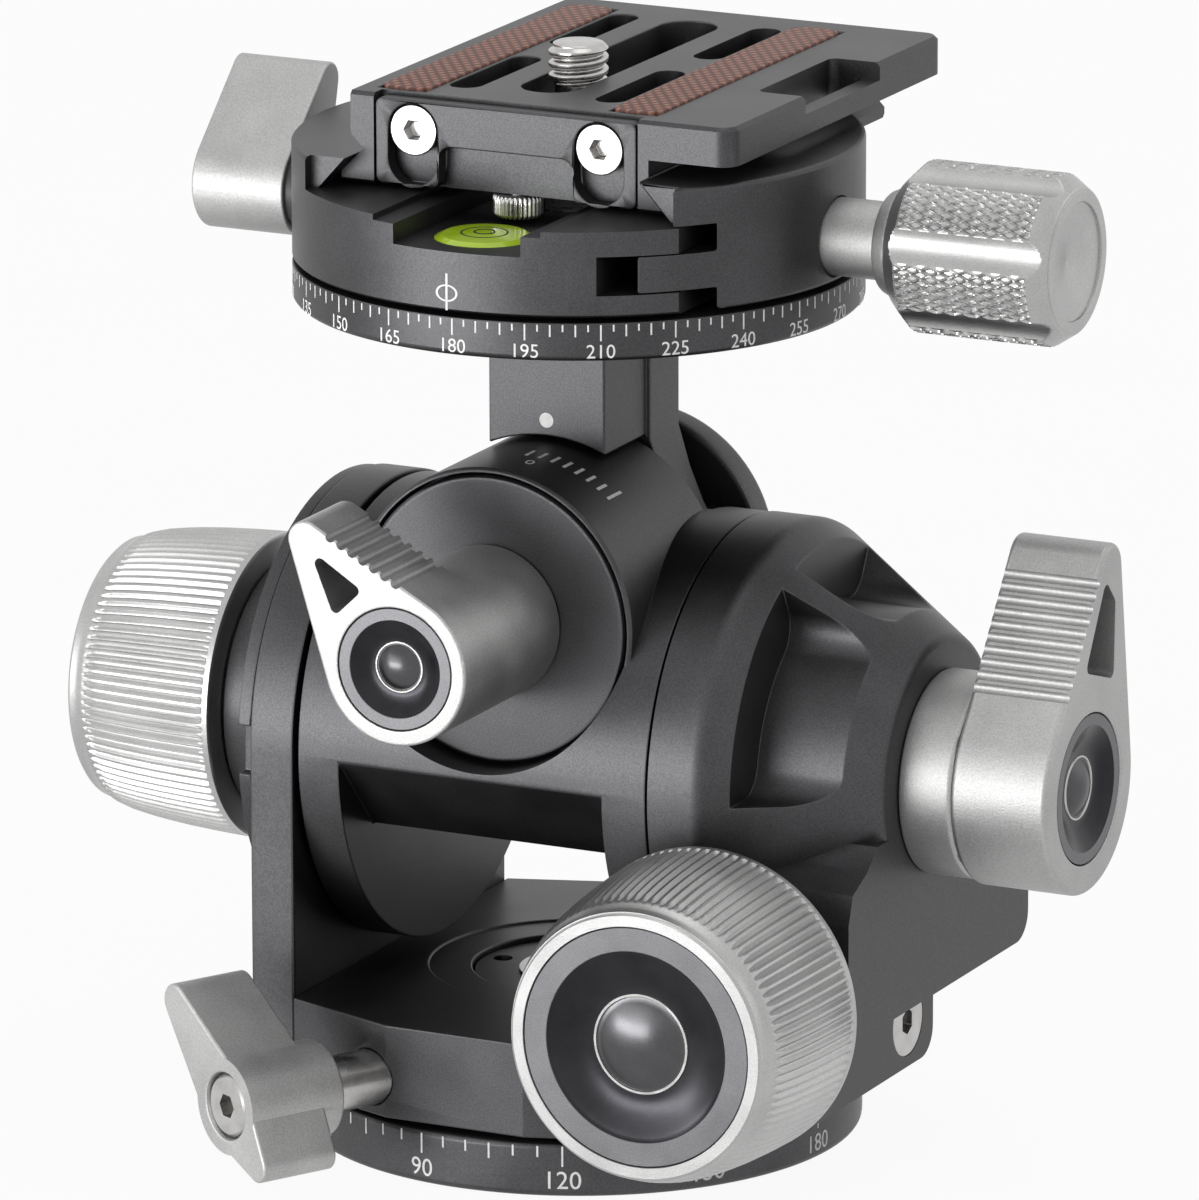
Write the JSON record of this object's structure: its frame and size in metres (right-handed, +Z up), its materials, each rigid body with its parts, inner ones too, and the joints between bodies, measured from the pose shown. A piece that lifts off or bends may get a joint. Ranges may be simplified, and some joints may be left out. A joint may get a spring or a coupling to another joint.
{
  "type": "geared tripod head",
  "caption": "Geared tripod head with panning base, worm-driven front and side tilt, locking levers, panning dovetail clamp and sliding camera plate.",
  "frame": {"origin": "centre of the base's bottom face, on the tripod thread's axis", "axes": "+Z up, -Y front (the side of the drum and its lever), +X right (the geared housing's side)"},
  "size_m": [0.1128, 0.0834, 0.1167],
  "materials": {
    "black_anodised": "bead-blasted black anodising",
    "silver_anodised": "bead-blasted silver anodising",
    "black_cap": "gloss",
    "steel": "turned stainless",
    "brass": "machined",
    "rubber_pad": "cross-hatched brown rubber",
    "level_glass": "clear acrylic over lime liquid",
    "bush_plastic": "plain"
  },
  "bodies": {
    "base": {"base_ring": "black_anodised", "pan_spindle": "steel", "tripod_insert": "steel", "spindle_screws": "steel", "pan_washer": "bush_plastic", "pan_nut": "brass"},
    "yoke": {"yoke_base": "black_anodised", "left_arm": "black_anodised", "left_arm_cover": "black_anodised", "cover_screws": "steel", "right_housing": "black_anodised", "yoke_screws": "steel", "tilt_bushes": "brass", "tilt_worm_bushes": "brass", "tilt_collar": "silver_anodised", "pan_lock_shoe": "brass"},
    "tilt_drive": {"tilt_knob": "silver_anodised", "tilt_knob_cap": "black_cap", "tilt_worm": "steel"},
    "tilt_lock": {"tilt_lever": "silver_anodised", "tilt_lever_cap": "black_cap", "tilt_lever_stud": "steel"},
    "pan_lock": {"pan_lock_lever": "silver_anodised", "pan_lock_stud": "steel"},
    "barrel": {"barrel": "black_anodised", "tilt_wheel": "brass", "front_disc": "black_anodised", "rear_cheek": "black_anodised", "roll_hub": "black_anodised", "roll_worm_bushes": "brass"},
    "roll_drive": {"roll_knob": "silver_anodised", "roll_knob_cap": "black_cap", "roll_worm": "steel"},
    "roll_lock": {"roll_lever": "silver_anodised", "roll_lever_cap": "black_cap", "roll_lever_stud": "steel"},
    "neck": {"neck": "black_anodised", "upper_pan_ring": "black_anodised", "neck_screws": "steel", "roll_axle": "steel", "roll_wheel": "brass", "upper_spindle": "steel", "upper_washer": "steel", "upper_spindle_screw": "steel"},
    "clamp": {"clamp_body": "black_anodised", "spirit_level": "level_glass", "guide_pins": "steel", "clamp_screw": "steel"},
    "upper_lock": {"upper_lock_lever": "silver_anodised", "upper_lock_washer": "bush_plastic", "upper_lock_stud": "steel"},
    "jaw": {"clamp_jaw": "black_anodised"},
    "clamp_drive": {"clamp_knob": "silver_anodised", "clamp_knob_neck": "silver_anodised"},
    "plate": {"quick_plate": "black_anodised", "grip_pads": "rubber_pad", "stop_screws": "steel", "safety_stud": "steel"},
    "stop": {"anti_twist_stop": "black_anodised"},
    "camera_screw": {"camera_screw": "steel"}
  },
  "joints": [
    {"name": "pan_base", "type": "hinge", "parent": "base", "child": "yoke", "pos_m": [0, 0, 0], "axis": [0, 0, 1], "continuous": true},
    {"name": "pan_lock_turn", "type": "hinge", "parent": "yoke", "child": "pan_lock", "pos_m": [-0.019, -0.045, 0.0107], "axis": [-0.4802, -0.8771, 0], "range_deg": [-45, 45]},
    {"name": "tilt", "type": "hinge", "parent": "yoke", "child": "barrel", "pos_m": [0, 0, 0.043], "axis": [1, 0, 0], "range_deg": [-30, 30]},
    {"name": "tilt_knob_turn", "type": "hinge", "parent": "yoke", "child": "tilt_drive", "pos_m": [0.02925, 0, 0.024], "axis": [0, 1, 0], "range_deg": [-1200, 1200]},
    {"name": "tilt_lock_turn", "type": "hinge", "parent": "yoke", "child": "tilt_lock", "pos_m": [0, 0, 0.043], "axis": [1, 0, 0], "range_deg": [0, 90]},
    {"name": "roll", "type": "hinge", "parent": "barrel", "child": "neck", "pos_m": [0, 0, 0.0594], "axis": [0, 1, 0], "range_deg": [-30, 18]},
    {"name": "roll_knob_turn", "type": "hinge", "parent": "barrel", "child": "roll_drive", "pos_m": [0, 0, 0.043], "axis": [1, 0, 0], "range_deg": [-1080, 1080]},
    {"name": "roll_lock_turn", "type": "hinge", "parent": "barrel", "child": "roll_lock", "pos_m": [0, 0, 0.0594], "axis": [0, 1, 0], "range_deg": [-90, 0]},
    {"name": "upper_pan", "type": "hinge", "parent": "neck", "child": "clamp", "pos_m": [0, 0, 0.09], "axis": [0, 0, 1], "continuous": true},
    {"name": "upper_lock_turn", "type": "hinge", "parent": "clamp", "child": "upper_lock", "pos_m": [0, 0, 0.0981], "axis": [1, 0, 0], "range_deg": [-60, 60]},
    {"name": "jaw_slide", "type": "slide", "parent": "clamp", "child": "jaw", "axis": [1, 0, 0], "range_m": [0, 0.003]},
    {"name": "clamp_knob_turn", "type": "hinge", "parent": "jaw", "child": "clamp_drive", "pos_m": [0, 0, 0.0989], "axis": [1, 0, 0], "range_deg": [0, 1080.02]},
    {"name": "plate_slide", "type": "slide", "parent": "clamp", "child": "plate", "axis": [0, 1, 0], "range_m": [-0.01, 0.01]},
    {"name": "stop_lift", "type": "slide", "parent": "plate", "child": "stop", "axis": [0, 0, 1], "range_m": [0, 0.003]},
    {"name": "camera_screw_turn", "type": "hinge", "parent": "plate", "child": "camera_screw", "pos_m": [0, 0, 0.11], "axis": [0, 0, 1], "continuous": true}
  ],
  "couplings": [
    {"joint": "tilt_knob_turn", "follows": "tilt", "ratio": 40},
    {"joint": "roll_knob_turn", "follows": "roll", "ratio": 36},
    {"joint": "clamp_knob_turn", "follows": "jaw_slide", "rad_per_m": 6283.2}
  ]
}
